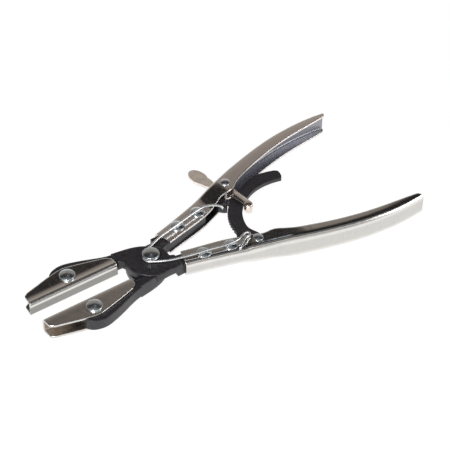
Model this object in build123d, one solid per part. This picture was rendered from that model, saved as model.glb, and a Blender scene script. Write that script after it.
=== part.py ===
from build123d import *
import math
import os

os.makedirs("parts", exist_ok=True)

# ---------------------------------------------------------------- dimensions
# millimetres. Built around the main pivot: X towards the handle ends, Y towards
# the right-hand handle, Z up from the mid plane of the half lap. At the end
# everything is shifted so that the whole tool stands on Z = 0 and is centred.
SHEET = 1.3              # plated sheet of jaws and handles
BEND_R = 2.0             # outer bend radius of the sheet
LEVER_H = 3.6            # half thickness of a lever arm and tail
HUB_H = 5.0              # half thickness of the two laps at the pivot
ROOT_H = 4.5             # far side of the thick arm root
LAP = 0.05               # half of the gap between the laps
GAP = 0.10               # sheet to lever, each side
FRONT_H = LEVER_H + GAP + SHEET      # outer half height, jaws and handle fronts
REAR_H = 7.2             # outer half height of the handles behind the flare
SEAT_H = 6.0             # half height of the left handle where the bar hinges
# where the handles grow taller: distance along X at the web, half height
RIGHT_FLARE = [(51.2, FRONT_H), (70.0, REAR_H)]
LEFT_FLARE = [(51.2, FRONT_H), (56.0, SEAT_H), (64.8, SEAT_H), (82.0, REAR_H)]

HUB_R = 15.5             # lap disc, jaw side
HUB_R_CUT = 11.2         # lap disc, where the other lever's tail passes
HUB_CLEAR = 0.35

PIVOT_SHANK_R = 3.4
PIVOT_HEAD_R = 5.2
PIVOT_HEAD_Z = 8.15      # underside of the head, above the spring coils
WIRE_R = 0.72
COIL_R = 4.45
COIL_TURNS = 2

JAW_RIVET = (-49.3, 15.4)
JAW_RIVET_SHANK_R = 3.0
JAW_HEAD_R = 4.9
JAW_FACE_Y = 7.0         # outer face of a jaw web from the centre line
JAW_X0, JAW_X1 = -79.4, -19.4

U1, U2 = (28.9, 14.4), (46.4, 18.1)  # handle rivets, mirrored for the other side
HANDLE_RIVET_SHANK_R = 2.3
HANDLE_HEAD_R = 4.6

L3 = (63.3, -23.0)       # ratchet bar hinge on the left handle
U3 = (75.8, 29.6)        # release lever hinge on the right handle
SMALL_SHANK_R = 1.8
SMALL_HEAD_R = 3.25
RELEASE_SHANK_R = 1.4    # the bar's teeth pass close to this rivet when the jaws are shut

BAR_H = 1.35             # half thickness of the ratchet bar
BAR_RATIO = -1.85        # bar turns against the left handle, per turn of the main pivot
PAWL_TIP = (66.3, 13.7)
TOOTH_CLEAR = 0.30
BAR_CENTRE = (102.4, -17.3)          # roughly what the bar curves round
ROOT_R = 6.3
TOOTH_PITCH = 2.5
TOOTH_DEPTH = 0.85
KNOB = (78.2, 7.6)
KNOB_R = 2.7
OPEN_DEG, CLOSE_DEG = -14.0, 15.7

# outer line of a handle web and inner line of its flanges, right-hand side
OUTER = [(14.2, 17.2), (22, 19.3), (30, 21.6), (38, 24.0), (46, 26.5), (50, 27.9),
         (54, 29.3), (58, 30.7), (62, 32.0), (68, 34.0), (75, 36.6), (84, 39.8),
         (95, 43.2), (108, 46.8), (124, 50.4), (139, 52.4), (153, 53.2), (165, 52.8),
         (171.5, 52.1)]
INNER = [(17.8, 5.2), (33, 8.8), (49, 13.0), (56.5, 16.0), (61.5, 18.4), (66, 20.6),
         (70.5, 21.7), (74.2, 21.9), (77.2, 23.0), (80.8, 25.6), (87, 29.3), (95, 32.4),
         (108, 36.8), (122, 40.6), (135, 43.3), (150, 45.4), (161, 46.7), (168.9, 47.75)]


# ---------------------------------------------------------------- helpers
def face_of(edges):
    return make_face(Wire(edges))


def poly_face(pts):
    return make_face(Polyline(*[Vector(x, y, 0) for x, y in pts], close=True))


def prism(face, z0, z1):
    return extrude(Pos(0, 0, z0) * face, z1 - z0, dir=(0, 0, 1))


def poly_prism(pts, z0, z1):
    return prism(poly_face(pts), z0, z1)


def cyl(xy, r, z0, z1):
    return Pos(xy[0], xy[1], (z0 + z1) / 2) * Cylinder(r, z1 - z0)


def spline_xy(pts):
    return Spline(*[Vector(x, y, 0) for x, y in pts])


def head(xy, r, z, rim, dome, up=1):
    """domed rivet head: a short rim, then a spherical cap"""
    s = up
    a, b, c = Vector(0, 0, z), Vector(r, 0, z), Vector(r, 0, z + s * rim)
    top = Vector(0, 0, z + s * (rim + dome))
    rad = (r * r + dome * dome) / (2 * dome)
    ang = math.asin(min(1.0, r / rad)) / 2
    mid = Vector(rad * math.sin(ang), 0, z + s * (rim + dome) - s * rad * (1 - math.cos(ang)))
    profile = face_of([Line(a, b), Line(b, c), ThreePointArc(c, mid, top), Line(top, a)])
    solid = revolve(profile, Axis.Z, 360)
    edge = [e for e in solid.edges() if abs(e.center().Z - (z + s * rim)) < 0.02]
    try:
        solid = fillet(edge, min(0.35, rim * 0.45))
    except Exception:
        pass
    return Pos(xy[0], xy[1], 0) * solid


def one(shape):
    solids = shape.solids()
    return max(solids, key=lambda s: s.volume)


def mirror_lever(s):
    return s.rotate(Axis.X, 180)


def rot(p, c, deg):
    a = math.radians(deg)
    x, y = p[0] - c[0], p[1] - c[1]
    return (c[0] + x * math.cos(a) - y * math.sin(a), c[1] + x * math.sin(a) + y * math.cos(a))


def arc_pts(c, r, a0, a1, n):
    return [(c[0] + r * math.cos(math.radians(a0 + (a1 - a0) * i / n)),
             c[1] + r * math.sin(math.radians(a0 + (a1 - a0) * i / n))) for i in range(n + 1)]


def offset_line(pts, d):
    """points of a line shifted sideways by d (to the right of travel)"""
    out = []
    for i, p in enumerate(pts):
        q0 = pts[max(i - 1, 0)]
        q1 = pts[min(i + 1, len(pts) - 1)]
        tx, ty = q1[0] - q0[0], q1[1] - q0[1]
        n = math.hypot(tx, ty)
        out.append((p[0] + d * ty / n, p[1] - d * tx / n))
    return out


def smooth(t):
    t = max(0.0, min(1.0, t))
    return t * t * (3 - 2 * t)


def at_x(pts, x):
    for (x0, y0), (x1, y1) in zip(pts, pts[1:]):
        if x0 <= x <= x1:
            return y0 + (y1 - y0) * (x - x0) / (x1 - x0)
    return pts[0][1] if x < pts[0][0] else pts[-1][1]


# ---------------------------------------------------------------- ratchet bar outline
def bar_locus(q, deg):
    """where a point fixed to the right handle is, seen from the bar, at a pivot angle"""
    L = rot(L3, (0, 0), deg)
    p = rot(q, L, -(1 + BAR_RATIO) * deg)
    return (p[0] - L[0] + L3[0], p[1] - L[1] + L3[1])


locus = [bar_locus(PAWL_TIP, OPEN_DEG - 1.0 + i * (CLOSE_DEG + 3.0 - OPEN_DEG) / 24) for i in range(25)]
outer_edge = offset_line(locus, TOOTH_CLEAR)
if math.dist(outer_edge[12], BAR_CENTRE) > math.dist(locus[12], BAR_CENTRE):
    outer_edge = offset_line(locus, -TOOTH_CLEAR)
# the free end carries on as an arc, the root end runs into the hinge eye
free_arc = [(93.2, 28.6), (97.9, 29.6), (102.6, 29.7), (107.6, 28.7), (112.8, 27.0), (114.6, 25.4), (114.5, 22.9)]
root_run = [(54.9, -12.6), (55.6, -17.0), (56.9, -21.6)]
edge = [p for p in reversed(outer_edge)]          # root -> free end
edge = [p for p in edge if p[1] > -9.5]

# arc length table along the toothed edge
cum = [0.0]
for p, q in zip(edge, edge[1:]):
    cum.append(cum[-1] + math.dist(p, q))


def on_edge(s):
    for i in range(len(cum) - 1):
        if cum[i] <= s <= cum[i + 1]:
            t = (s - cum[i]) / (cum[i + 1] - cum[i])
            return tuple(edge[i][k] + t * (edge[i + 1][k] - edge[i][k]) for k in (0, 1))
    return edge[-1]


# the pawl tip's place on the edge at rest
s_tip = min((math.dist(on_edge(i * 0.05), PAWL_TIP), i * 0.05) for i in range(int(cum[-1] / 0.05)))[1]
TEETH_FRONT = 8      # teeth on the root side of the pawl
teeth_s0 = s_tip - TEETH_FRONT * TOOTH_PITCH
toothed = []
s = 0.0
while s < teeth_s0 - 0.3:
    toothed.append(on_edge(s))
    s += 1.6
N_TEETH = 10
for i in range(N_TEETH):
    s_a = teeth_s0 + i * TOOTH_PITCH
    a = on_edge(s_a)
    b = on_edge(s_a + TOOTH_PITCH * 0.42)
    c = on_edge(s_a + TOOTH_PITCH)
    tx, ty = c[0] - a[0], c[1] - a[1]
    n = math.hypot(tx, ty)
    inward = (ty / n, -tx / n)
    toothed.append(a)
    toothed.append((b[0] + inward[0] * TOOTH_DEPTH, b[1] + inward[1] * TOOTH_DEPTH))
s = teeth_s0 + N_TEETH * TOOTH_PITCH
while s < cum[-1]:
    toothed.append(on_edge(s))
    s += 1.6

INNER_SIDE = [(112.4, 18.4), (106.9, 19.6), (100.8, 20.1), (95.2, 19.7), (89.4, 18.3), (83.8, 15.8), (78.4, 12.3),
              (74.0, 8.0), (70.7, 3.4), (68.6, -0.9), (67.2, -5.3), (66.9, -8.4), (67.5, -10.8), (68.5, -13.2),
              (69.4, -15.8)]
inner_line = Spline(*[Vector(x, y, 0) for x, y in INNER_SIDE])
inner_arc = [((inner_line @ (i / 34)).X, (inner_line @ (i / 34)).Y) for i in range(35)]      # free end -> root
# the hinge eye, clockwise from the inner edge round to the toothed side
eye = arc_pts(L3, ROOT_R, 30, -172, 20)
bar_pts = root_run[::-1] + toothed + free_arc + [(113.7, 20.2)] + inner_arc + eye
bar_outline = poly_face(bar_pts)
bar = prism(bar_outline, -BAR_H, BAR_H)
bar = bar - cyl(L3, SMALL_SHANK_R + 0.05, -10, 10)
bar = one(bar)
bar_clean_pts = root_run[::-1] + edge[1:] + free_arc + [(113.7, 20.2)] + inner_arc + eye

# ---------------------------------------------------------------- levers
jx, jy = JAW_RIVET
STEP_R = math.hypot(JAW_X1 - jx, JAW_FACE_Y - jy) + 0.40     # clears the jaw's rear corner
arm_outer = [(-58.7, 16.5), (-58.9, 20.0), (-57.2, 23.2), (-52.6, 25.8), (-47.0, 26.4), (-42.0, 25.3),
             (-31.5, 21.6), (-20.0, 17.5), (-14.0, 16.5), (-6.0, 15.0), (0.0, 12.9), (3.3, 10.9)]
a_top = math.degrees(math.atan2(3.3, 10.9))
cut_arc = arc_pts((0, 0), HUB_R_CUT, 73.0, -3.0, 18)
tail_in = [(18.0, -6.3), (33.0, -10.0), (49.0, -14.2), (52.5, -15.5)]
tail_out_full = [(x, -y) for x, y in offset_line(OUTER, SHEET + 0.65)]
tail_out = [p for p in tail_out_full if 16.0 < p[0] < 52.5]
tail_end_x = 52.0
hub_near = arc_pts((0, 0), HUB_R, -90, -183, 20)
crotch = [(-15.6, 5.2), (-17.3, 7.6)]
inner_relief = [(jx + STEP_R * math.cos(math.radians(d)), jy + STEP_R * math.sin(math.radians(d)))
                for d in (-12.4, -9.0, -5.2)]
arm_inner = [(-20.5, 12.6), (-30.0, 11.4), (-40.0, 10.1), (-49.3, 9.1), (-58.6, 10.5)]

outline = (
    [Spline(*[Vector(x, y, 0) for x, y in arm_outer])]
)
full_pts_top = arm_outer
lever_pts = (arm_outer + cut_arc + [(10.95, -3.9), (14.2, -5.6)] + tail_in + [(tail_end_x, -27.0)]
             + tail_out[::-1] + [(14.0, -15.2), (9.0, -15.4), (5.0, -15.25)] + hub_near + crotch + inner_relief
             + [(-18.1, 12.6)] + arm_inner)


def lever_face():
    edges = [Spline(*[Vector(x, y, 0) for x, y in arm_outer])]
    last = Vector(*arm_outer[-1], 0)
    c0 = Vector(*cut_arc[0], 0)
    edges.append(Line(last, c0))
    edges.append(ThreePointArc(c0, Vector(*cut_arc[9], 0), Vector(*cut_arc[-1], 0)))
    rest = ([cut_arc[-1], (10.95, -3.9), (14.2, -5.6)] + tail_in + [(tail_end_x + 0.5, -26.9)]
            + tail_out[::-1] + [(14.0, -15.2), (9.0, -15.4), (5.0, -15.25), hub_near[0]])
    edges.append(Polyline(*[Vector(x, y, 0) for x, y in rest]))
    edges.append(ThreePointArc(Vector(*hub_near[0], 0), Vector(*hub_near[10], 0), Vector(*hub_near[-1], 0)))
    rest2 = [hub_near[-1]] + crotch + inner_relief + [(-18.6, 12.75)] + arm_inner + [arm_outer[0]]
    edges.append(Polyline(*[Vector(x, y, 0) for x, y in rest2]))
    all_edges = []
    for e in edges:
        all_edges.extend(e.edges())
    return make_face(Wire(all_edges))


lever_outline = lever_face()
big = 400.0
rivet_disc = Pos(jx, jy, 0) * Cylinder(STEP_R, 60)
tail_box = Pos(13.2 + 100, 0, 0) * Box(200, 200, 60)          # inside the handle channel
whole = prism(lever_outline, -LEVER_H, LEVER_H)
arm_part = whole & rivet_disc
tail_part = whole & tail_box
hub_upper = prism(lever_outline, LAP, HUB_H) - rivet_disc - tail_box
root_lower = (prism(lever_outline, -ROOT_H, LAP + 0.01) - rivet_disc) & (Pos(-100, 100, 0) * Box(200, 200, 60))
root_lower = root_lower - cyl((0, 0), HUB_R + HUB_CLEAR, -20, 20)
# below the lap the root is cut back to an open corner beside the jaw
root_lower = root_lower - Pos(-14.6, 5.4, 0) * Box(9.0, 9.6, 60)
tail_root = prism(lever_outline, -LEVER_H, LAP + 0.01) & (Pos(9.6 + 50, -50, 0) * Box(100, 100, 60))
tail_root = tail_root - cyl((0, 0), HUB_R_CUT + HUB_CLEAR, -20, 20) - tail_box


def soften_top(s, z, r):
    """round the upper outline of the hub"""
    try:
        es = [e for e in s.edges() if abs(e.center().Z - z) < 0.01 and abs(e.bounding_box().size.Z) < 0.01
              and not (e.center().X > 12.5)]
        return fillet(es, r)
    except Exception:
        return s


hub_upper = soften_top(one(hub_upper), HUB_H, 0.9)
root_lower = one(root_lower)
try:
    es = [e for e in root_lower.edges() if abs(e.center().Z + ROOT_H) < 0.01 and e.bounding_box().size.Z < 0.01]
    root_lower = fillet(es, 0.8)
except Exception:
    pass
lever = hub_upper + root_lower + tail_root + arm_part + tail_part
lever = lever - cyl((0, 0), PIVOT_SHANK_R + 0.05, -20, 20)
lever = lever - cyl(JAW_RIVET, JAW_RIVET_SHANK_R + 0.02, -20, 20)
for p in (U1, U2):
    lever = lever - cyl((p[0], -p[1]), HANDLE_RIVET_SHANK_R + 0.02, -20, 20)
# the swinging root of the ratchet bar needs room behind the last rivet
for d in range(-32, 30, 4):
    swept = poly_face([rot(p, L3, d) for p in bar_clean_pts])
    try:
        grown = offset(swept, 0.4, kind=Kind.INTERSECTION)
    except Exception:
        grown = swept
    lever = lever - prism(grown, -20, 20)
lever = one(lever)
top_lever = lever
bottom_lever = mirror_lever(lever)

# ---------------------------------------------------------------- jaws
cheek = [(JAW_X0, JAW_FACE_Y), (JAW_X1, JAW_FACE_Y), (-19.6, 12.9), (-22.6, 15.6), (-33.8, 18.9), (-43.5, 21.4),
         (-48.2, 22.5), (-52.0, 22.3), (-60.3, 20.6), (-76.3, 16.2), (-78.9, 14.6)]


def jaw():
    f = poly_face(cheek)
    f = fillet([v for v in f.vertices() if v.Y > JAW_FACE_Y + 1], 1.6)
    body = prism(f, -FRONT_H, FRONT_H)
    body = one(body)
    es = [e for e in body.edges() if abs(e.center().Y - JAW_FACE_Y) < 0.01 and abs(abs(e.center().Z) - FRONT_H) < 0.01
          and e.length > 20]
    body = fillet(es, BEND_R)
    hollow = Pos((JAW_X0 + JAW_X1) / 2, JAW_FACE_Y + SHEET + 50, 0) * Box(100, 100, 2 * (FRONT_H - SHEET))
    hollow = fillet([e for e in hollow.edges() if abs(e.center().Y - (JAW_FACE_Y + SHEET)) < 0.01 and e.length > 50],
                    BEND_R - SHEET)
    body = body - hollow
    body = body - cyl(JAW_RIVET, JAW_RIVET_SHANK_R + 0.05, -20, 20)
    return one(body)


right_jaw = jaw()
left_jaw = mirror_lever(right_jaw)


def through_rivet(xy, shank_r, z_top, head_r, rim, dome, z_bot, head_r2, rim2, dome2):
    s = cyl(xy, shank_r, z_bot, z_top)
    s = s + head(xy, head_r, z_top, rim, dome, 1)
    if head_r2:
        s = s + head(xy, head_r2, z_bot, rim2, dome2, -1)
    return one(s)


right_jaw_rivet = through_rivet(JAW_RIVET, JAW_RIVET_SHANK_R, FRONT_H + 0.05, JAW_HEAD_R, 0.85, 1.15,
                                -FRONT_H - 0.05, JAW_HEAD_R, 0.5, 0.75)
left_jaw_rivet = through_rivet((jx, -jy), JAW_RIVET_SHANK_R, FRONT_H + 0.05, JAW_HEAD_R, 0.85, 1.15,
                               -FRONT_H - 0.05, JAW_HEAD_R, 0.5, 0.75)

pivot_rivet = cyl((0, 0), PIVOT_SHANK_R, -HUB_H - 0.05, PIVOT_HEAD_Z)
pivot_rivet = pivot_rivet + head((0, 0), PIVOT_HEAD_R, PIVOT_HEAD_Z, 0.9, 0.95, 1)
flat_head = cyl((0, 0), PIVOT_HEAD_R, -REAR_H, -HUB_H - 0.05)
try:
    flat_head = chamfer([e for e in flat_head.edges() if abs(e.center().Z + REAR_H) < 0.01], 0.5)
except Exception:
    pass
pivot_rivet = one(pivot_rivet + flat_head)


# ---------------------------------------------------------------- handles
def half_height(x, flare):
    h = flare[0][1]
    for (xa, ha), (xb, hb) in zip(flare, flare[1:]):
        h += (hb - ha) * smooth((x - xa) / (xb - xa))
    return h


def u_section(p, tangent, h, w):
    """U section square to the web line: web at the line, flanges to the inside"""
    n = Vector(tangent[1], -tangent[0], 0)      # to the inside of the tool, right-hand side

    def P(d, z):
        return Vector(p[0] + n.X * d, p[1] + n.Y * d, z)

    R, t, ri = BEND_R, SHEET, BEND_R - SHEET
    k = math.sqrt(0.5)
    edges = [
        Line(P(w, h), P(R, h)),
        ThreePointArc(P(R, h), P(R - R * k, h - R + R * k), P(0, h - R)),
        Line(P(0, h - R), P(0, -h + R)),
        ThreePointArc(P(0, -h + R), P(R - R * k, -h + R - R * k), P(R, -h)),
        Line(P(R, -h), P(w, -h)),
        Line(P(w, -h), P(w, -h + t)),
        Line(P(w, -h + t), P(R, -h + t)),
        ThreePointArc(P(R, -h + t), P(R - ri * k, -h + R - ri * k), P(t, -h + R)),
        Line(P(t, -h + R), P(t, h - R)),
        ThreePointArc(P(t, h - R), P(R - ri * k, h - R + ri * k), P(R, h - t)),
        Line(P(R, h - t), P(w, h - t)),
        Line(P(w, h - t), P(w, h)),
    ]
    return make_face(Wire(edges))


def handle(flare):
    line = Spline(*[Vector(x, y, 0) for x, y in OUTER])
    def s_of(x):
        lo, hi = 0.0, 1.0
        for _ in range(40):
            m = (lo + hi) / 2
            if (line @ m).X < x:
                lo = m
            else:
                hi = m
        return (lo + hi) / 2

    def run(s0, s1, n):
        faces = []
        for i in range(n + 1):
            s = s0 + (s1 - s0) * i / n
            p = line @ s
            t = line % s
            width = min(17.4, p.Y - at_x(INNER, p.X) + 3.0)
            faces.append(u_section((p.X, p.Y), (t.X, t.Y), half_height(p.X, flare), width))
        return loft(faces)

    stops = [s_of(x) for x, h in flare]
    body = run(0.0, stops[0], 5)
    for (xa, ha), (xb, hb), sa, sb in zip(flare, flare[1:], stops, stops[1:]):
        body = body + run(sa, sb, max(4, round((xb - xa) / 2.2)))
    body = body + run(stops[-1], 1.0, 14)
    keep_edges = [Spline(*[Vector(x, y, 0) for x, y in INNER])]
    a = INNER[0]
    b = INNER[-1]
    o = Polyline(Vector(b[0], b[1], 0), Vector(170.0, 48.15, 0), Vector(170.75, 48.8, 0), Vector(171.15, 49.7, 0),
                 Vector(178, 50.6, 0), Vector(178, 70, 0), Vector(8, 60, 0),
                 Vector(14.15, 17.3, 0), Vector(a[0], a[1], 0))
    keep = make_face(Wire(keep_edges[0].edges() + o.edges()))
    body = body & prism(keep, -20, 20)
    return one(body)


right_handle = handle(RIGHT_FLARE)
left_handle = mirror_lever(handle(LEFT_FLARE))
for p in (U1, U2):
    right_handle = right_handle - cyl(p, HANDLE_RIVET_SHANK_R + 0.02, -20, 20)
    left_handle = left_handle - cyl((p[0], -p[1]), HANDLE_RIVET_SHANK_R + 0.02, -20, 20)

# slot in the right web for the neck of the release lever
NECK_AT = (71.6, 35.9)
slot_dir = 19.5
slot = Pos(NECK_AT[0], NECK_AT[1], 0) * Rot(0, 0, slot_dir) * Box(8.6, 6.0, 4.4)
right_handle = right_handle - slot
PAWL_PIN = (64.6, 24.6)
PAWL_PIN_R = 1.5
right_handle = right_handle - cyl(U3, RELEASE_SHANK_R + 0.02, -20, 20) - cyl(PAWL_PIN, PAWL_PIN_R + 0.02, -20, 0)
left_handle = left_handle - cyl(L3, SMALL_SHANK_R + 0.02, -20, 20)
right_handle = one(right_handle)
left_handle = one(left_handle)


def handle_rivet(xy):
    return through_rivet(xy, HANDLE_RIVET_SHANK_R, FRONT_H + 0.03, HANDLE_HEAD_R, 0.55, 1.15,
                         -FRONT_H - 0.03, HANDLE_HEAD_R - 0.4, 0.4, 0.9)


right_handle_front_rivet = handle_rivet(U1)
right_handle_rear_rivet = handle_rivet(U2)
left_handle_front_rivet = handle_rivet((U1[0], -U1[1]))
left_handle_rear_rivet = handle_rivet((U2[0], -U2[1]))

# hinge rivets: domed above, driven flush below
ratchet_rivet = through_rivet(L3, SMALL_SHANK_R, SEAT_H + 0.03, SMALL_HEAD_R, 0.45, 0.85, -SEAT_H, 0, 0, 0)
release_rivet = through_rivet(U3, RELEASE_SHANK_R, REAR_H + 0.03, SMALL_HEAD_R - 0.1, 0.45, 0.85, -REAR_H, 0, 0, 0)
inner_h = REAR_H - SHEET


def washer(xy, r_out, z0, z1, shank_r=SMALL_SHANK_R):
    return one(cyl(xy, r_out, z0, z1) - cyl(xy, shank_r + 0.04, z0 - 1, z1 + 1))


seat_h = SEAT_H - SHEET
ratchet_washer_upper = washer(L3, 3.7, BAR_H + 0.05, seat_h - 0.05)
ratchet_washer_lower = washer(L3, 3.7, -seat_h + 0.05, -BAR_H - 0.05)

# ---------------------------------------------------------------- release lever
YOKE_Z0, YOKE_Z1 = 2.3, 3.7
strap_pts = [(73.0, 30.6), (73.4, 22.0), (75.6, 12.0), (75.7, 7.0), (78.2, 5.2), (80.7, 7.0), (80.6, 12.4), (79.4, 22.0),
             (79.4, 28.8), (78.2, 31.6), (76.2, 33.2), (73.6, 33.0)]
strap = poly_face(strap_pts)
try:
    strap = fillet(strap.vertices(), 1.2)
except Exception:
    pass
upper_strap = prism(strap, YOKE_Z0, YOKE_Z1)
# underneath only an ear round the hinge, so the arm reaches over the bar on one side
lower_strap = prism(strap, -YOKE_Z1, -YOKE_Z0) & cyl(U3, 4.6, -20, 20)
bridge_pts = [(71.9, 31.2), (73.2, 30.7), (74.4, 31.9), (76.2, 32.7), (77.4, 32.6), (77.0, 33.5), (75.8, 34.0), (73.4, 33.5), (72.0, 32.6)]
bridge = poly_prism(bridge_pts, -YOKE_Z1, YOKE_Z1)
neck_pts = [(72.1, 31.4), (75.2, 33.4), (73.9, 36.5), (73.9, 39.8), (73.9, 42.8), (73.3, 46.0), (66.0, 44.6), (67.6, 39.8), (69.8, 36.0)]
PADDLE = (68.8, 49.79)
PADDLE_A, PADDLE_B = 8.0, 5.0
paddle_deg = 97.0
paddle_face = Pos(PADDLE[0], PADDLE[1], 0) * Rot(0, 0, paddle_deg) * Ellipse(PADDLE_A, PADDLE_B)
PADDLE_H = 1.05
neck = poly_prism(neck_pts, -PADDLE_H, PADDLE_H)
paddle = prism(paddle_face, -PADDLE_H, PADDLE_H)
thumb = one(neck + paddle)
try:
    thumb = fillet([e for e in thumb.edges() if abs(abs(e.center().Z) - PADDLE_H) < 0.01 and e.center().Y > 38.0], 0.6)
except Exception:
    pass
release_lever = upper_strap + lower_strap + bridge + thumb
release_lever = release_lever - cyl(U3, RELEASE_SHANK_R + 0.05, -20, 20) - cyl(KNOB, 1.5 + 0.02, -20, 20)
release_lever = one(release_lever)
PIN_FOOT = 1.6           # how far the pin reaches below the mid plane, past the bar
release_pin = cyl(KNOB, 1.5, -PIN_FOOT, YOKE_Z1 + 0.02)
release_pin = release_pin + cyl(KNOB, KNOB_R, -PIN_FOOT, YOKE_Z0 - 0.05)
release_pin = release_pin + head(KNOB, KNOB_R, YOKE_Z1 + 0.02, 0.3, 0.8, 1) + head(KNOB, KNOB_R, -PIN_FOOT, 0.2, 0.7, -1)
release_pin = one(release_pin)
release_washer_upper = washer(U3, 3.4, YOKE_Z1 + 0.05, inner_h - 0.05, RELEASE_SHANK_R)
release_washer_lower = washer(U3, 3.4, -inner_h + 0.05, -YOKE_Z1 - 0.05, RELEASE_SHANK_R)

# ---------------------------------------------------------------- pawl
px, py = PAWL_TIP
pawl_pts = [(px, py), (67.3, 15.9), (68.3, 19.3), (70.4, 22.8), (71.0, 25.6), (69.6, 28.4), (67.0, 29.9), (61.4, 28.4), (60.6, 22.5), (62.0, 17.4), (64.3, 14.8)]
pawl = poly_prism(pawl_pts, -2.4, 2.4) - cyl(PAWL_PIN, PAWL_PIN_R + 0.02, -20, 20)
pawl = one(pawl)
PAWL_PIN_H = 6.25        # driven from below, flush with the lower flange, which slopes here
PAWL_PIN_TOP = 4.3       # ends under the upper flange, nothing shows on top
pawl_pin = one(cyl(PAWL_PIN, PAWL_PIN_R, -PAWL_PIN_H, PAWL_PIN_TOP))

# ---------------------------------------------------------------- spring
COIL_Z0 = HUB_H + 0.08 + WIRE_R
PITCH = 2 * WIRE_R + 0.06


def even_points(pts, step):
    """a smooth line through the points, sampled at an even spacing"""
    def lerp(a, b, ta, tb, t):
        w = (t - ta) / (tb - ta)
        return tuple(a[k] + (b[k] - a[k]) * w for k in range(3))

    ext = [tuple(2 * pts[0][k] - pts[1][k] for k in range(3))] + list(pts) + [tuple(2 * pts[-1][k] - pts[-2][k] for k in range(3))]
    dense = []
    for i in range(1, len(ext) - 2):
        p0, p1, p2, p3 = ext[i - 1:i + 3]
        t0 = 0.0
        t1 = t0 + math.dist(p0, p1) ** 0.5
        t2 = t1 + math.dist(p1, p2) ** 0.5
        t3 = t2 + math.dist(p2, p3) ** 0.5
        for j in range(24):
            t = t1 + (t2 - t1) * j / 24
            a1, a2, a3 = lerp(p0, p1, t0, t1, t), lerp(p1, p2, t1, t2, t), lerp(p2, p3, t2, t3, t)
            b1, b2 = lerp(a1, a2, t0, t2, t), lerp(a2, a3, t1, t3, t)
            dense.append(lerp(b1, b2, t1, t2, t))
    dense.append(tuple(pts[-1]))
    total = sum(math.dist(a, b) for a, b in zip(dense, dense[1:]))
    n = max(8, round(total / step))
    out, want, run_len = [dense[0]], total / n, 0.0
    for a, b in zip(dense, dense[1:]):
        d = math.dist(a, b)
        while run_len + d >= want - 1e-9 and len(out) < n:
            w = (want - run_len) / d
            out.append(tuple(a[k] + (b[k] - a[k]) * w for k in range(3)))
            want += total / n
        run_len += d
    out.append(dense[-1])
    return out


LEFT_LEG = [(48.38, -24.71, 5.95), (51.31, -22.71, 6.6), (55.8, -20.1, 7.05), (59.1, -19.2, 7.15), (60.5, -17.9, 7.2),
            (59.5, -16.3, 7.2), (55.75, -17.1, 7.3), (51.6, -18.8, 7.5), (40.9, -18.3, 7.58), (31.41, -16.05, 7.58),
            (22.96, -14.5, 7.58), (14.07, -11.8, 6.9), (6.35, -8.8, 6.2)]
RIGHT_LEG = [(12.81, 9.89, 7.45), (26.16, 12.84, 7.58), (39.35, 15.83, 7.58), (48.04, 17.52, 7.6), (51.84, 17.53, 7.6), (55.63, 16.42, 7.5), (59.04, 14.75, 7.0), (61.11, 13.32, 6.0), (62.1, 12.31, 4.4)]


def spring():
    a_low, a_high = 250.0, 108.0        # where the left leg and the right leg leave the coil
    total = -(360.0 * (COIL_TURNS - 1) + a_low - a_high)
    n = int(abs(total) // 20)
    pts = []
    z0, z1 = COIL_Z0, PIVOT_HEAD_Z - 0.08 - WIRE_R
    for i in range(n + 1):
        a = math.radians(a_low + total * i / n)
        turned = abs(total) * i / n
        climb = smooth((turned - (abs(total) - 360.0)) / (720.0 - abs(total)))     # level, up, level
        pts.append((COIL_R * math.cos(a), COIL_R * math.sin(a), z0 + (z1 - z0) * climb))
    # left leg: over the rivet heads of the left handle to a crook above the bar's root
    left_leg = LEFT_LEG
    right_leg = RIGHT_LEG
    allp = even_points(left_leg + pts + right_leg, 1.0)
    # round sections square to the wire, carried along it without twist
    sections = []
    side = None
    for i, p in enumerate(allp):
        a, b = allp[max(i - 1, 0)], allp[min(i + 1, len(allp) - 1)]
        tan = Vector(b[0] - a[0], b[1] - a[1], b[2] - a[2]).normalized()
        if side is None:
            side = tan.cross(Vector(0, 0, 1)).normalized()
        side = (side - tan * side.dot(tan)).normalized()
        sections.append(Plane(origin=Vector(*p), x_dir=side, z_dir=tan) * Circle(WIRE_R))
    return loft(sections, ruled=True), allp


torsion_spring, spring_pts = spring()
torsion_spring = one(torsion_spring)

# ---------------------------------------------------------------- output
pieces = {
    "top_lever": top_lever, "bottom_lever": bottom_lever, "pivot_rivet": pivot_rivet,
    "torsion_spring": torsion_spring, "right_jaw": right_jaw, "left_jaw": left_jaw,
    "right_jaw_rivet": right_jaw_rivet, "left_jaw_rivet": left_jaw_rivet,
    "right_handle": right_handle, "left_handle": left_handle,
    "right_handle_front_rivet": right_handle_front_rivet, "right_handle_rear_rivet": right_handle_rear_rivet,
    "left_handle_front_rivet": left_handle_front_rivet, "left_handle_rear_rivet": left_handle_rear_rivet,
    "ratchet_bar": bar, "ratchet_rivet": ratchet_rivet,
    "ratchet_washer_upper": ratchet_washer_upper, "ratchet_washer_lower": ratchet_washer_lower,
    "release_lever": release_lever, "release_pin": release_pin, "release_rivet": release_rivet,
    "release_washer_upper": release_washer_upper, "release_washer_lower": release_washer_lower,
    "pawl": pawl, "pawl_pin": pawl_pin,
}
boxes = [s.bounding_box() for s in pieces.values()]
x0, x1 = min(b.min.X for b in boxes), max(b.max.X for b in boxes)
y0, y1 = min(b.min.Y for b in boxes), max(b.max.Y for b in boxes)
z0 = min(b.min.Z for b in boxes)
SHIFT = (-(x0 + x1) / 2, -(y0 + y1) / 2, -z0)
if __name__ == "__main__":
    print("shift", SHIFT, "size", x1 - x0, y1 - y0, max(b.max.Z for b in boxes) - z0)
    for name, solid in pieces.items():
        export_step(Pos(*SHIFT) * solid, os.path.join("parts", name + ".step"))
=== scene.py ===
import math

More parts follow.
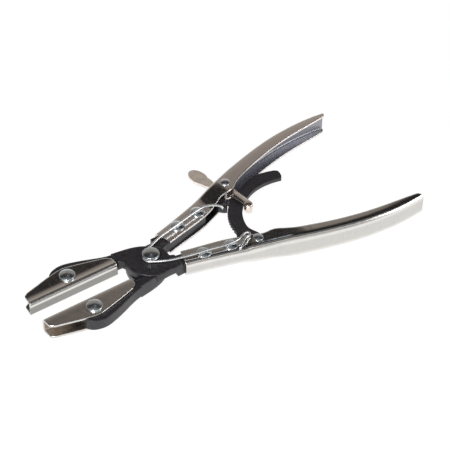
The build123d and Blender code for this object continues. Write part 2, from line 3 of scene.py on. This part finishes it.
import bmesh
import bpy
from mathutils import Matrix, Vector


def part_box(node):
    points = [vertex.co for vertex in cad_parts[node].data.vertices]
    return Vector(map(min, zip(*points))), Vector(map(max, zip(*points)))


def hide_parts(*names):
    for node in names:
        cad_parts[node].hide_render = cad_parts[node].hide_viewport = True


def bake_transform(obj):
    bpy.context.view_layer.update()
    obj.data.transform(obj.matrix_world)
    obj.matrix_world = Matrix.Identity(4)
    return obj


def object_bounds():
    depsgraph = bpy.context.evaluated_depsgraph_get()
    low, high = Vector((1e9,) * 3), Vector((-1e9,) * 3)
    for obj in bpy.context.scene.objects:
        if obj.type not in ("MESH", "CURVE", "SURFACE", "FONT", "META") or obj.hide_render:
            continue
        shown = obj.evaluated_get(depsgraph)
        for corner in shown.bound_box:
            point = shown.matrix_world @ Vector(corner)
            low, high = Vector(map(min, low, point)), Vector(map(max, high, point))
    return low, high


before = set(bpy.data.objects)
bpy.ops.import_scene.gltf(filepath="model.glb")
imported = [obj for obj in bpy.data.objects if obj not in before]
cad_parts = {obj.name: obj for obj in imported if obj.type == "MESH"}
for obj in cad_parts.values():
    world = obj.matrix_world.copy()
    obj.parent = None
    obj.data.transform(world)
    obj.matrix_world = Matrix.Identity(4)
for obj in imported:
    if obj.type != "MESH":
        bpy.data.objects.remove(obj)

lo0, hi0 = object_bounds()

# ------------------------------------------------------------------ places
plo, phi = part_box("pivot_rivet")
PIVOT = Vector(((plo[0] + phi[0]) / 2, (plo[1] + phi[1]) / 2, plo[2] + 0.0072))
MM = 0.001


def at(x, y, z):
    """a point given in millimetres from the main pivot's mid plane"""
    return PIVOT + Vector((x, y, z)) * MM


# ------------------------------------------------------------------ node helpers
class Nodes:
    def __init__(self, tree):
        self.t = tree
        self.n = tree.nodes
        self.l = tree.links

    def add(self, kind, **props):
        node = self.n.new(kind)
        for k, v in props.items():
            setattr(node, k, v)
        return node

    def link(self, a, b):
        self.l.new(a, b)

    def coords(self, scale=(1, 1, 1), rotation=(0, 0, 0)):
        tc = self.add("ShaderNodeTexCoord")
        mp = self.add("ShaderNodeMapping")
        mp.inputs["Scale"].default_value = scale
        mp.inputs["Rotation"].default_value = rotation
        self.link(tc.outputs["Object"], mp.inputs["Vector"])
        return mp.outputs["Vector"]

    def noise(self, vec, scale, detail=3.0, rough=0.55, distortion=0.0):
        nd = self.add("ShaderNodeTexNoise")
        nd.inputs["Scale"].default_value = scale
        nd.inputs["Detail"].default_value = detail
        nd.inputs["Roughness"].default_value = rough
        nd.inputs["Distortion"].default_value = distortion
        self.link(vec, nd.inputs["Vector"])
        return nd.outputs["Fac"]

    def ramp(self, fac, stops, interp="LINEAR"):
        r = self.add("ShaderNodeValToRGB")
        r.color_ramp.interpolation = interp
        els = r.color_ramp.elements
        while len(els) > len(stops):
            els.remove(els[-1])
        while len(els) < len(stops):
            els.new(0.5)
        for e, (p, c) in zip(els, stops):
            e.position = p
            e.color = (c[0], c[1], c[2], 1.0) if not isinstance(c, (int, float)) else (c, c, c, 1.0)
        self.link(fac, r.inputs["Fac"])
        return r.outputs["Color"]

    def mapr(self, fac, a, b, lo=0.0, hi=1.0):
        m = self.add("ShaderNodeMapRange")
        m.inputs["From Min"].default_value = lo
        m.inputs["From Max"].default_value = hi
        m.inputs["To Min"].default_value = a
        m.inputs["To Max"].default_value = b
        self.link(fac, m.inputs["Value"])
        return m.outputs["Result"]

    def mixc(self, fac, a, b, blend="MIX"):
        m = self.add("ShaderNodeMix")
        m.data_type = "RGBA"
        m.blend_type = blend
        for sock, val in ((m.inputs[0], fac), (m.inputs[6], a), (m.inputs[7], b)):
            if isinstance(val, (int, float)):
                sock.default_value = val
            elif isinstance(val, tuple):
                sock.default_value = (*val, 1.0) if len(val) == 3 else val
            else:
                self.link(val, sock)
        return m.outputs[2]

    def math(self, op, a, b=0.0):
        m = self.add("ShaderNodeMath", operation=op)
        for sock, val in ((m.inputs[0], a), (m.inputs[1], b)):
            if isinstance(val, (int, float)):
                sock.default_value = val
            else:
                self.link(val, sock)
        return m.outputs[0]

    def round_edges(self, radius):
        b = self.add("ShaderNodeBevel", samples=6)
        b.inputs["Radius"].default_value = radius
        return b.outputs["Normal"]

    def bump(self, height, strength, distance, normal=None):
        b = self.add("ShaderNodeBump")
        b.inputs["Strength"].default_value = strength
        b.inputs["Distance"].default_value = distance
        self.link(height, b.inputs["Height"])
        if normal is not None:
            self.link(normal, b.inputs["Normal"])
        return b.outputs["Normal"]


def material(name):
    m = bpy.data.materials.new(name)
    m.use_nodes = True
    nt = m.node_tree
    nt.nodes.clear()
    k = Nodes(nt)
    out = k.add("ShaderNodeOutputMaterial")
    bsdf = k.add("ShaderNodeBsdfPrincipled")
    k.link(bsdf.outputs["BSDF"], out.inputs["Surface"])
    return m, k, bsdf


OUTER = [(14.2, 17.2), (22, 19.3), (30, 21.6), (38, 24.0), (46, 26.5), (54, 29.3), (62, 32.0), (68, 34.0), (75, 36.6), (84, 39.8),
         (95, 43.2), (108, 46.8), (124, 50.4), (139, 52.4), (153, 53.2), (165, 52.8), (171.5, 52.1)]


def curve(k, fac, pts):
    """a smooth curve of one number, given as (from, to) pairs between 0 and 1"""
    c = k.add("ShaderNodeFloatCurve")
    cm = c.mapping
    cm.use_clip = False
    cv = cm.curves[0]
    cv.points[0].location = pts[0]
    cv.points[1].location = pts[-1]
    for p in pts[1:-1]:
        cv.points.new(*p)
    cm.update()
    k.link(fac, c.inputs["Value"])
    return c.outputs["Value"]


def from_bend(k, kind):
    """millimetres from the outer face of the web, measured into the channel"""
    tc = k.add("ShaderNodeTexCoord")
    sep = k.add("ShaderNodeSeparateXYZ")
    k.link(tc.outputs["Object"], sep.inputs[0])
    x = k.math("MULTIPLY", k.math("SUBTRACT", sep.outputs["X"], PIVOT.x), 1000.0)
    y = k.math("ABSOLUTE", k.math("MULTIPLY", k.math("SUBTRACT", sep.outputs["Y"], PIVOT.y), 1000.0))
    z = k.math("ABSOLUTE", k.math("MULTIPLY", k.math("SUBTRACT", sep.outputs["Z"], PIVOT.z), 1000.0))
    if kind == "jaw":
        return k.math("SUBTRACT", y, 7.0), x, z
    xn = k.math("DIVIDE", k.math("SUBTRACT", x, 10.0), 165.0)
    web = k.math("MULTIPLY", curve(k, xn, [((px - 10.0) / 165.0, py / 60.0) for px, py in OUTER]), 60.0)
    return k.math("MULTIPLY", k.math("SUBTRACT", web, y), 0.95), x, z


def below(k):
    """1 under the mid plane of the tool, 0 above it"""
    tc = k.add("ShaderNodeTexCoord")
    sep = k.add("ShaderNodeSeparateXYZ")
    k.link(tc.outputs["Object"], sep.inputs[0])
    return k.math("LESS_THAN", sep.outputs["Z"], PIVOT.z)


def ramp01(k, v, lo, hi):
    """0 at lo, 1 at hi, clamped and straight"""
    m = k.add("ShaderNodeMapRange")
    m.inputs["From Min"].default_value = lo
    m.inputs["From Max"].default_value = hi
    k.link(v, m.inputs["Value"])
    return m.outputs["Result"]


def shoulder(k, d, start, lean):
    """height of a soft shoulder that leans over towards the bend: level at start, leaning most at 2 mm"""
    run = k.math("SUBTRACT", start, 2.0)
    u = k.math("MINIMUM", k.math("MAXIMUM", k.math("DIVIDE", k.math("SUBTRACT", start, d), run), 0.0), 1.0)
    v = ramp01(k, d, 2.0, 0.0)
    cu = k.math("MULTIPLY", k.math("POWER", u, 3.0), k.math("DIVIDE", run, 3.0))
    cv = k.math("MULTIPLY", k.math("SUBTRACT", v, k.math("DIVIDE", k.math("POWER", v, 3.0), 3.0)), 2.0)
    return k.math("MULTIPLY", k.math("ADD", cu, cv), -lean * MM)


def splay(k, d, lo, hi, first, last):
    """height of a cheek whose lean goes evenly from first at lo to last at hi"""
    u = ramp01(k, d, lo, hi)
    w = k.math("MAXIMUM", k.math("SUBTRACT", d, hi), 0.0)
    h = k.math("MULTIPLY", k.math("MULTIPLY", u, u), (last - first) * (hi - lo) / 2.0)
    h = k.math("ADD", h, k.math("MULTIPLY", k.math("MINIMUM", d, hi), first))
    return k.math("MULTIPLY", k.math("ADD", h, k.math("MULTIPLY", w, last)), MM)


def along(k, x, pts, top):
    """a number that changes along the handle, given at places in millimetres"""
    xn = k.math("DIVIDE", k.math("SUBTRACT", x, 10.0), 165.0)
    return k.math("MULTIPLY", curve(k, xn, [((px - 10.0) / 165.0, q / top) for px, q in pts]), top)


def plated_sheet(name, kind, tint, rough_lo, rough_hi, shoulders=(), splays=(), dips=(), tip=(), fade=(), inner_painted_reflection=(0.36, 0.37, 0.41),
                 web=1.0, band=(2.0, 3.6), low=False, edge=0.0011):
    """bright plated pressed sheet: soft mottling, faint draw lines, rolled shoulders, rougher inside the channel, with
    painted shade on the face of the web and a painted darker reflection inside the channel
    """
    m, k, b = material(name)
    v = k.coords()
    d, x, z = from_bend(k, kind)
    b.inputs["Metallic"].default_value = 1.0
    mottle = k.noise(v, 520.0, 5.0, 0.62)
    cloud = k.noise(v, 75.0, 3.0, 0.55)
    tall = k.noise(k.coords(scale=(420.0, 420.0, 90.0)), 1.0, 4.0, 0.65)
    lines = k.noise(k.coords(scale=(60.0, 900.0, 900.0)), 1.0, 4.0, 0.7)
    col = k.mixc(k.mapr(mottle, 0.0, 1.0, 0.35, 0.65), tuple(c * 0.93 for c in tint), tint)
    col = k.mixc(k.mapr(tall, 0.0, 0.45, 0.42, 0.66), col, tuple(c * 0.88 for c in tint))
    col = k.mixc(k.mapr(cloud, 0.0, 0.5, 0.35, 0.7), col, tuple(min(1.0, c * q) for c, q in zip(tint, (1.03, 1.0, 0.96))))
    r = k.math("ADD", k.mapr(mottle, 0.0, (rough_hi - rough_lo) * 0.6, 0.3, 0.7), k.mapr(lines, 0.0, (rough_hi - rough_lo) * 0.4, 0.3, 0.7))
    r = k.math("ADD", r, rough_lo)
    if kind == "jaw":
        top = k.math("ADD", k.math("MULTIPLY", x, 0.0), 5.0)
    else:
        top = k.math("ADD", 5.0, k.math("MULTIPLY", k.mapr(x, 0.0, 1.0, 54.0, 74.0), 2.2))
    depth = k.math("SUBTRACT", top, z)
    # painted shade: the face of the web, between the rolled bends above and below it, is darkened by the web factor to
    # stand in for the shaded floor it mirrors
    web_painted_shade_mask = k.math("MULTIPLY", k.math("LESS_THAN", d, 1.2), ramp01(k, depth, *band))
    # with low set, the web face under the mid plane gets the same painted shade
    if low:
        web_painted_shade_mask = k.math("MAXIMUM", web_painted_shade_mask, k.math("MULTIPLY", k.math("LESS_THAN", d, 1.9), below(k)))
    col = k.mixc(web_painted_shade_mask, col, k.mixc(1.0, col, (web, web, web * 0.985), "MULTIPLY"))
    # painted shade and reflection: the inside of the channel takes a darker inside colour for what it mirrors there;
    # the rougher finish there is real
    inside = k.math("MULTIPLY", k.math("GREATER_THAN", depth, 1.22), k.math("GREATER_THAN", d, 1.22))
    col = k.mixc(k.math("MULTIPLY", inside, 0.85), col, inner_painted_reflection)
    r = k.math("ADD", r, k.math("MULTIPLY", inside, 0.12))
    k.link(col, b.inputs["Base Color"])
    k.link(r, b.inputs["Roughness"])
    n = k.round_edges(edge)
    shape = None
    for start, lean in shoulders:
        if not isinstance(start, float):
            start = along(k, x, start, 20.0)
        h = shoulder(k, d, start, lean)
        if fade:
            h = k.math("MULTIPLY", h, along(k, x, fade, 1.0))
        shape = h if shape is None else k.math("ADD", shape, h)
    for lo, hi, first, last in splays:
        h = splay(k, d, lo, hi, first, last)
        shape = h if shape is None else k.math("ADD", shape, h)
    if tip:
        h = k.math("MULTIPLY", k.math("MULTIPLY", along(k, x, tip, 0.2), d), MM)
        shape = h if shape is None else k.math("ADD", shape, h)
    for lo, hi, lean in dips:
        h = k.math("MULTIPLY", ramp01(k, x, lo, hi), (hi - lo) * lean * MM)
        shape = h if shape is None else k.math("ADD", shape, h)
    if shape is not None:
        n = k.bump(shape, 1.0, 1.0, n)
    n = k.bump(lines, 0.10, 0.00002, n)
    n = k.bump(mottle, 0.12, 0.00003, n)
    n = k.bump(tall, 0.15, 0.00006, n)
    n = k.bump(cloud, 0.30, 0.00012, n)
    k.link(n, b.inputs["Normal"])
    return m


def black_steel(name, rough=0.37, grain=1.0, edge=0.0017):
    """black finished forging: fine grain, slight mottling, dusty highlights"""
    m, k, b = material(name)
    v = k.coords()
    fine = k.noise(v, 2600.0, 3.0, 0.6)
    mid = k.noise(v, 420.0, 4.0, 0.6)
    big = k.noise(v, 90.0, 3.0, 0.5)
    col = k.ramp(mid, [(0.25, (0.0105, 0.0100, 0.0120)), (0.60, (0.0210, 0.0192, 0.0235)), (0.85, (0.043, 0.038, 0.042))])
    speck = k.ramp(fine, [(0.66, 0.0), (0.80, 1.0)])
    col = k.mixc(k.math("MULTIPLY", k.mapr(speck, 0.0, 0.35), 1.0), col, (0.10, 0.092, 0.095))
    k.link(col, b.inputs["Base Color"])
    r = k.math("ADD", k.mapr(mid, rough - 0.07, rough + 0.07, 0.3, 0.7), k.mapr(big, -0.05, 0.06, 0.3, 0.7))
    k.link(r, b.inputs["Roughness"])
    b.inputs["Specular IOR Level"].default_value = 0.58
    n = k.bump(fine, 0.22 * grain, 0.00005, k.round_edges(edge))
    n = k.bump(mid, 0.25 * grain, 0.00012, n)
    n = k.bump(big, 0.25, 0.0005, n)
    k.link(n, b.inputs["Normal"])
    return m


def zinc(name, tint=(0.70, 0.745, 0.775), rough_lo=0.16, rough_hi=0.34, edge=0.0002, strap=False):
    """bright zinc plating on cold headed steel, or warm nickel on the formed strap of the release"""
    m, k, b = material(name)
    v = k.coords()
    b.inputs["Metallic"].default_value = 1.0
    fine = k.noise(v, 1500.0, 4.0, 0.6)
    cloud = k.noise(v, 260.0, 3.0, 0.55)
    col = k.ramp(cloud, [(0.30, tuple(c * 0.80 for c in tint)), (0.55, tint), (0.80, tuple(min(1, c * 1.12) for c in tint))])
    k.link(col, b.inputs["Base Color"])
    k.link(k.mapr(fine, rough_lo, rough_hi, 0.3, 0.7), b.inputs["Roughness"])
    n = k.round_edges(edge)
    if strap:
        # a rounded back along the arm and a slight tilt on the thumb pad
        d, x, z = from_bend(k, "jaw")
        y = k.math("ADD", d, 7.0)
        w = k.math("ADD", k.math("SUBTRACT", x, 78.2), k.math("MULTIPLY", k.math("SUBTRACT", y, 7.6), 0.109))
        arm = k.math("MULTIPLY", k.math("MULTIPLY", k.math("MULTIPLY", w, w), -1.0 / 12.0), ramp01(k, y, 26.0, 22.0))
        pad = k.math("MULTIPLY", k.math("MAXIMUM", k.math("SUBTRACT", y, 36.0), 0.0), -0.11)
        n = k.bump(k.math("MULTIPLY", k.math("ADD", arm, pad), MM), 1.0, 1.0, n)
    n = k.bump(fine, 0.12, 0.00003, n)
    n = k.bump(cloud, 0.25, 0.00012, n)
    k.link(n, b.inputs["Normal"])
    return m


# the web factor sets painted shade on each web face; the inside colour is a painted darker reflection in each channel
MAT = {
    "chrome_near": plated_sheet("chrome_near", "handle", (0.82, 0.81, 0.79), 0.10, 0.22, web=0.80, shoulders=[(6.6, 0.62)],
                                tip=[(10, 0.0), (55, 0.0), (62, 0.03), (70, 0.075), (84, 0.075), (94, 0.03), (104, 0.0),
                                     (140, 0.0), (152, 0.02), (164, 0.05), (175, 0.06)],
                                fade=[(10, 0.6), (50, 0.75), (66, 1.0), (80, 1.0), (110, 1.0), (130, 0.85), (150, 0.62), (175, 0.42)]),
    "chrome_far": plated_sheet("chrome_far", "handle", (0.84, 0.80, 0.78), 0.12, 0.24, web=0.85, shoulders=[(7.0, 0.06)],
                               dips=[(55.0, 72.0, 0.09)], inner_painted_reflection=(0.24, 0.248, 0.285)),
    "chrome_right_jaw": plated_sheet("chrome_right_jaw", "jaw", (0.80, 0.79, 0.77), 0.10, 0.20, web=0.40, band=(3.0, 3.7), low=True,
                                     splays=[(2.0, 6.6, -0.13, 0.066)]),
    "chrome_left_jaw": plated_sheet("chrome_left_jaw", "jaw", (0.80, 0.785, 0.765), 0.12, 0.24, web=0.8, inner_painted_reflection=(0.60, 0.54, 0.48),
                                    shoulders=[(6.5, 0.05)], splays=[(3.0, 9.0, 0.0, 0.012)]),
    "pin_flush": plated_sheet("pin_flush", "handle", (0.84, 0.80, 0.78), 0.12, 0.24, dips=[(55.0, 72.0, 0.09)], edge=0.00008),
    "black_steel": black_steel("black_steel"),
    "bar_black": black_steel("bar_black", 0.46, 1.5, 0.0006),
    "zinc_plated": zinc("zinc_plated"),
    "spring_wire": zinc("spring_wire", (0.86, 0.88, 0.90), 0.20, 0.34),
    "nickel": zinc("nickel", (0.90, 0.80, 0.72), 0.14, 0.28, 0.0006),
    "nickel_strap": zinc("nickel_strap", (0.97, 0.89, 0.83), 0.14, 0.28, 0.0005, strap=True),
    "pawl_black": black_steel("pawl_black", 0.32, 1.2, 0.0005),
}

USE = {
    "top_lever": "black_steel", "bottom_lever": "black_steel", "ratchet_bar": "bar_black", "pawl": "pawl_black", "pawl_pin": "pin_flush",
    "right_jaw": "chrome_right_jaw", "left_jaw": "chrome_left_jaw", "right_handle": "chrome_far", "left_handle": "chrome_near",
    "release_lever": "nickel_strap", "release_pin": "nickel",
}
for name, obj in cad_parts.items():
    mat = MAT[USE.get(name, "zinc_plated")]
    if not obj.material_slots:
        obj.data.materials.append(mat)
    for s in obj.material_slots:
        s.material = mat

# ------------------------------------------------------------------ spring wire
WIRE_R = 0.72
LEFT_LEG = [(48.38, -24.71, 5.95), (51.31, -22.71, 6.6), (55.8, -20.1, 7.05), (59.1, -19.2, 7.15), (60.5, -17.9, 7.2),
            (59.5, -16.3, 7.2), (55.75, -17.1, 7.3), (51.6, -18.8, 7.5), (40.9, -18.3, 7.58), (31.41, -16.05, 7.58),
            (22.96, -14.5, 7.58), (14.07, -11.8, 6.9), (6.35, -8.8, 6.2)]
RIGHT_LEG = [(12.81, 9.89, 7.45), (26.16, 12.84, 7.58), (39.35, 15.83, 7.58), (48.04, 17.52, 7.6), (51.84, 17.53, 7.6),
             (55.63, 16.42, 7.5), (59.04, 14.75, 7.0), (61.11, 13.32, 6.0), (62.1, 12.31, 4.4)]


def coil_points():
    a0, a1 = 250.0, 108.0
    total = -(360.0 + a0 - a1)
    z0, z1 = 5.0 + 0.08 + WIRE_R, 8.15 - 0.08 - WIRE_R
    n = 40
    out = []
    for i in range(n + 1):
        a = math.radians(a0 + total * i / n)
        t = max(0.0, min(1.0, (abs(total) * i / n - (abs(total) - 360.0)) / (720.0 - abs(total))))
        out.append((4.45 * math.cos(a), 4.45 * math.sin(a), z0 + (z1 - z0) * t * t * (3 - 2 * t)))
    return out


def smooth_line(pts, step):
    """evenly spaced points on a centripetal curve through pts"""
    def lerp(a, b, ta, tb, t):
        w = (t - ta) / (tb - ta)
        return tuple(a[k] + (b[k] - a[k]) * w for k in range(3))

    ext = [tuple(2 * pts[0][k] - pts[1][k] for k in range(3))] + list(pts) + [tuple(2 * pts[-1][k] - pts[-2][k] for k in range(3))]
    dense = []
    for i in range(1, len(ext) - 2):
        p0, p1, p2, p3 = ext[i - 1:i + 3]
        t0 = 0.0
        t1 = t0 + math.dist(p0, p1) ** 0.5
        t2 = t1 + math.dist(p1, p2) ** 0.5
        t3 = t2 + math.dist(p2, p3) ** 0.5
        for j in range(24):
            t = t1 + (t2 - t1) * j / 24
            a1, a2, a3 = lerp(p0, p1, t0, t1, t), lerp(p1, p2, t1, t2, t), lerp(p2, p3, t2, t3, t)
            b1, b2 = lerp(a1, a2, t0, t2, t), lerp(a2, a3, t1, t3, t)
            dense.append(lerp(b1, b2, t1, t2, t))
    dense.append(tuple(pts[-1]))
    total = sum(math.dist(a, b) for a, b in zip(dense, dense[1:]))
    n = max(8, round(total / step))
    out, want, run = [dense[0]], total / n, 0.0
    for a, b in zip(dense, dense[1:]):
        d = math.dist(a, b)
        while run + d >= want - 1e-9 and len(out) < n:
            w = (want - run) / d
            out.append(tuple(a[k] + (b[k] - a[k]) * w for k in range(3)))
            want += total / n
        run += d
    out.append(dense[-1])
    return out


def wire_mesh(name, pts, radius, sides=20):
    """a round wire with slightly broken ends"""
    bm = bmesh.new()
    P = [at(*p) for p in pts]
    side = None
    rings = []

    def ring(c, tan, side, r):
        up = tan.cross(side)
        return [bm.verts.new(c + (side * math.cos(2 * math.pi * i / sides) + up * math.sin(2 * math.pi * i / sides)) * r)
                for i in range(sides)]

    for i, p in enumerate(P):
        tan = (P[min(i + 1, len(P) - 1)] - P[max(i - 1, 0)]).normalized()
        if side is None:
            side = tan.cross(Vector((0, 0, 1))).normalized()
        side = (side - tan * side.dot(tan)).normalized()
        if i == 0:
            rings.append(ring(p - tan * radius * 0.0, tan, side, radius * 0.78))
            rings.append(ring(p + tan * radius * 0.3, tan, side, radius))
        elif i == len(P) - 1:
            rings.append(ring(p - tan * radius * 0.3, tan, side, radius))
            rings.append(ring(p, tan, side, radius * 0.78))
        else:
            rings.append(ring(p, tan, side, radius))
    for a, b in zip(rings, rings[1:]):
        for i in range(sides):
            bm.faces.new((a[i], a[(i + 1) % sides], b[(i + 1) % sides], b[i]))
    bm.faces.new(list(reversed(rings[0])))
    bm.faces.new(rings[-1])
    bmesh.ops.recalc_face_normals(bm, faces=bm.faces)
    me = bpy.data.meshes.new(name)
    bm.to_mesh(me)
    bm.free()
    for p in me.polygons:
        p.use_smooth = True
    ob = bpy.data.objects.new(name, me)
    bpy.context.scene.collection.objects.link(ob)
    return ob


spring = wire_mesh("spring_wire_form", smooth_line(LEFT_LEG + coil_points() + RIGHT_LEG, 0.8), WIRE_R * MM)
spring.data.materials.append(MAT["spring_wire"])
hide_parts("torsion_spring")
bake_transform(spring)

# ------------------------------------------------------------------ floor
floor_z = 0.0
me = bpy.data.meshes.new("floor")
bm = bmesh.new()
R = 6.0
bm.faces.new([bm.verts.new((x * R, y * R, floor_z)) for x, y in ((-1, -1), (1, -1), (1, 1), (-1, 1))])
bm.to_mesh(me)
bm.free()
floor = bpy.data.objects.new("floor", me)
bpy.context.scene.collection.objects.link(floor)
fm, k, b = material("floor_paper")
v = k.coords()
paper = k.noise(v, 8.0, 3.0)
k.link(k.ramp(paper, [(0.3, (0.100, 0.100, 0.0995)), (0.7, (0.104, 0.104, 0.1035))]), b.inputs["Base Color"])
b.inputs["Roughness"].default_value = 0.9
b.inputs["Specular IOR Level"].default_value = 0.05
b.inputs["Emission Color"].default_value = (1, 1, 1, 1)
b.inputs["Emission Strength"].default_value = 0.95
me.materials.append(fm)

# ------------------------------------------------------------------ light
world = bpy.data.worlds.new("studio")
bpy.context.scene.world = world
world.use_nodes = True
nt = world.node_tree
nt.nodes.clear()
k = Nodes(nt)
out = k.add("ShaderNodeOutputWorld")
bg = k.add("ShaderNodeBackground")
tc = k.add("ShaderNodeTexCoord")
sep = k.add("ShaderNodeSeparateXYZ")
k.link(tc.outputs["Generated"], sep.inputs[0])
def vmath(op, x, y):
    m = k.add("ShaderNodeVectorMath", operation=op)
    for sock, val in ((m.inputs[0], x), (m.inputs[1], y)):
        if isinstance(val, tuple):
            sock.default_value = val
        else:
            k.link(val, sock)
    return m.outputs["Value"] if op == "DOT_PRODUCT" else m.outputs["Vector"]


# the room as an arc over the bench: 0 the near horizon, 90 overhead, 180 the far horizon
NEAR = (-0.5855, -0.8107, 0.0)
SIDE = (0.8107, -0.5855, 0.0)
d = tc.outputs["Generated"]
near = vmath("DOT_PRODUCT", d, NEAR)
side = vmath("DOT_PRODUCT", d, SIDE)
arc = k.math("MULTIPLY", k.math("ARCTAN2", k.math("MAXIMUM", sep.outputs["Z"], 0.0), near), 1.0 / math.pi)


def deg(pairs):
    return [(t / 180.0, c) for t, c in pairs]


room = k.ramp(arc, deg([
    (0, (0.80, 0.80, 0.79)), (10, (1.02, 1.02, 1.02)), (15, (1.00, 1.00, 1.00)), (19, (0.42, 0.40, 0.385)),
    (49, (0.35, 0.33, 0.32)), (52, (1.12, 1.12, 1.12)), (57, (1.12, 1.12, 1.12)), (62, (0.34, 0.32, 0.29)),
    (68, (0.022, 0.021, 0.023)), (80, (0.020, 0.020, 0.022)), (85, (0.22, 0.215, 0.22)), (98, (0.22, 0.215, 0.22)),
    (103, (0.014, 0.013, 0.015)), (131, (0.020, 0.018, 0.018)), (136, (0.155, 0.133, 0.120)),
    (140, (0.305, 0.272, 0.248)), (150, (0.43, 0.395, 0.36)), (160, (0.22, 0.21, 0.19)), (170, (0.62, 0.62, 0.60)),
    (180, (0.86, 0.86, 0.85))]))
# the sides of the room are a plain light grey, low down
flank = k.mapr(k.math("ABSOLUTE", side), 0.0, 1.0, 0.62, 0.90)
k.n[-1].interpolation_type = "SMOOTHSTEP"
wall = k.ramp(sep.outputs["Z"], [(0.0, (0.80, 0.80, 0.79)), (0.35, (0.50, 0.50, 0.49)), (0.60, (0.06, 0.06, 0.06)), (1.0, (0.02, 0.02, 0.02))])
sky = k.mixc(flank, room, wall)
# one small far lamp panel
spot = vmath("DOT_PRODUCT", d, (0.5855 * math.cos(math.radians(64)), 0.8107 * math.cos(math.radians(64)), math.sin(math.radians(64))))
panel = k.mapr(spot, 0.0, 1.0, math.cos(math.radians(4.2)), math.cos(math.radians(3.0)))
sky = k.mixc(panel, sky, (0.60, 0.66, 0.74))
k.link(sky, bg.inputs["Color"])
bg.inputs["Strength"].default_value = 1.0
k.link(bg.outputs[0], out.inputs[0])


def area(name, loc, target, size, power, size_y=None, color=(1, 1, 1)):
    d = bpy.data.lights.new(name, "AREA")
    d.energy = power
    d.color = color
    d.shape = "RECTANGLE"
    d.size = size
    d.size_y = size_y or size
    o = bpy.data.objects.new(name, d)
    o.location = loc
    o.rotation_mode = "QUATERNION"
    o.rotation_quaternion = (Vector(target) - Vector(loc)).to_track_quat("-Z", "Y")
    bpy.context.scene.collection.objects.link(o)
    return o


C = (lo0 + hi0) / 2
area("key", (-0.55, -0.35, 0.85), C, 0.35, 5.5, 0.25)
area("fill", (0.75, -0.75, 0.55), C, 0.6, 4.0)

# ------------------------------------------------------------------ camera
ELEV, AZIM, ROLL, DIST_PX, PU, PV = 42.147, -35.842, 0.789, 1478.0, 151.076, 263.830
PX = 0.605 * MM            # one picture unit at the pivot, in metres
a, e, r = math.radians(AZIM), math.radians(ELEV), math.radians(ROLL)
back = Vector((math.sin(a) * math.cos(e), -math.cos(a) * math.cos(e), math.sin(e)))
right = (-back).cross(Vector((0, 0, 1))).normalized()
up = right.cross(-back)
right_r = right * math.cos(r) + up * math.sin(r)
up_r = -right * math.sin(r) + up * math.cos(r)
cx, cy = PU - 225.0, -(PV - 225.0)
cam_data = bpy.data.cameras.new("camera")
cam = bpy.data.objects.new("camera", cam_data)
bpy.context.scene.collection.objects.link(cam)
cam.matrix_world = Matrix((
    (right_r.x, up_r.x, back.x, 0), (right_r.y, up_r.y, back.y, 0), (right_r.z, up_r.z, back.z, 0), (0, 0, 0, 1)))
cam.location = PIVOT + (right_r * -cx + up_r * -cy + back * DIST_PX) * PX
cam_data.sensor_width = 36.0
cam_data.lens = 36.0 * DIST_PX / 450.0
cam_data.clip_start, cam_data.clip_end = 0.05, 20.0
bpy.context.scene.camera = cam
bpy.context.scene.view_settings.view_transform = "Standard"
bpy.context.scene.view_settings.look = "None"
